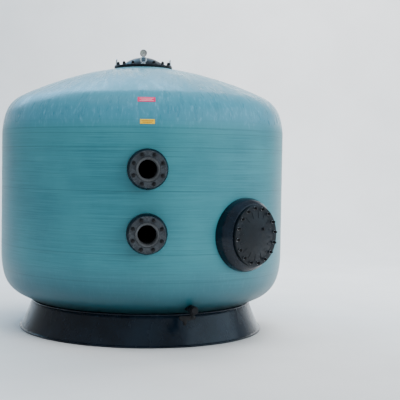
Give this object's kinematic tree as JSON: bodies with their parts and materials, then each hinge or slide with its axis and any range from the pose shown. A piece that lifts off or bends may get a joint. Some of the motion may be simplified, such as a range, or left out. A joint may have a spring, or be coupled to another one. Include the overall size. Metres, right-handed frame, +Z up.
{
  "type": "sand filter tank",
  "caption": "Large filament-wound sand filter tank on a conical skirt, with bolted top lid, lifting eyes, gauge, side manhole, flanged ports and a drain valve.",
  "frame": {"origin": "on the floor, under the middle of the whole tank's box; the vessel's own axis is 67 mm behind it, because the ports stand out in front", "axes": "+Z up along the vessel's axis; the two ports face -Y, 2 degrees towards +X, and the manhole is 41.7 degrees towards +X"},
  "size_m": [2.5, 2.6376, 2.4815],
  "materials": {
    "wound_laminate": "wound glass-fibre laminate with a clear teal resin coat, satin gloss",
    "neck_laminate": "light blue laminate, satin",
    "black_gelcoat": "black gelcoat over laminate, glossy",
    "moulded_black": "moulded black plastic, slightly worn gloss",
    "port_plastic": "moulded black plastic, glossy",
    "grey_pvc": "grey pipe plastic, satin",
    "seal_rubber": "black rubber, matt",
    "cap_plastic": "black plastic caps, satin",
    "stainless": "stainless steel, lightly brushed",
    "brass": "machined brass",
    "gauge_glass": "clear lens",
    "dial_white": "white printed dial",
    "pointer_black": "black lacquer"
  },
  "bodies": {
    "tank": {"vessel_shell": "wound_laminate", "top_neck": "neck_laminate", "base_skirt": "black_gelcoat", "inlet_nozzle": "black_gelcoat", "outlet_nozzle": "black_gelcoat", "manhole_neck": "black_gelcoat", "drain_spigot": "moulded_black", "drain_valve_body": "moulded_black", "inlet_flange": "port_plastic", "outlet_flange": "port_plastic", "inlet_stub": "grey_pvc", "outlet_stub": "grey_pvc", "inlet_pipe": "grey_pvc", "inlet_elbow": "grey_pvc", "inlet_riser": "grey_pvc", "inlet_diffuser": "grey_pvc", "outlet_pipe": "grey_pvc", "outlet_elbow": "grey_pvc", "outlet_riser": "grey_pvc", "collector_hub": "grey_pvc", "lateral_1": "grey_pvc", "lateral_2": "grey_pvc", "lateral_3": "grey_pvc", "lateral_4": "grey_pvc", "lateral_5": "grey_pvc", "lateral_6": "grey_pvc", "lateral_7": "grey_pvc", "lateral_8": "grey_pvc", "top_lid_seal": "seal_rubber", "manhole_seal": "seal_rubber", "inlet_gasket": "seal_rubber", "outlet_gasket": "seal_rubber", "inlet_bolts": "cap_plastic", "outlet_bolts": "cap_plastic"},
    "lid": {"top_lid": "moulded_black", "top_lid_bolts": "cap_plastic", "lifting_eye_1": "stainless", "lifting_eye_2": "stainless", "lifting_eye_3": "stainless", "lifting_eye_4": "stainless", "gauge_case": "stainless", "gauge_bezel": "stainless", "gauge_lens": "gauge_glass", "gauge_dial": "dial_white", "gauge_socket": "brass", "gauge_bourdon_tube": "brass"},
    "gauge_needle": {"gauge_pointer": "pointer_black"},
    "manhole_lid": {"manhole_cover": "moulded_black", "manhole_plug": "cap_plastic", "manhole_bolts": "cap_plastic"},
    "drain_rotor": {"drain_ball": "stainless", "drain_stem": "stainless", "drain_handle": "cap_plastic"},
    "drain_plug": {"drain_cap": "cap_plastic"}
  },
  "joints": [
    {"name": "lid_lift", "type": "slide", "parent": "tank", "child": "lid", "axis": [0, 0, 1], "range_m": [0, 0.3]},
    {"name": "gauge_turn", "type": "hinge", "parent": "lid", "child": "gauge_needle", "pos_m": [0, 0.06325, 2.45], "axis": [0, 1, 0], "range_deg": [0, 270], "stiffness_Nm_per_rad": 0.0005},
    {"name": "manhole_pull", "type": "slide", "parent": "tank", "child": "manhole_lid", "axis": [0.6652, -0.7466, 0], "range_m": [0, 0.3]},
    {"name": "drain_turn", "type": "hinge", "parent": "tank", "child": "drain_rotor", "pos_m": [0.41324, -1.03802, 0.318], "axis": [0, 0, 1], "range_deg": [0, 90]},
    {"name": "drain_cap_pull", "type": "slide", "parent": "tank", "child": "drain_plug", "axis": [0.3502, -0.9367, 0], "range_m": [0, 0.08]}
  ]
}
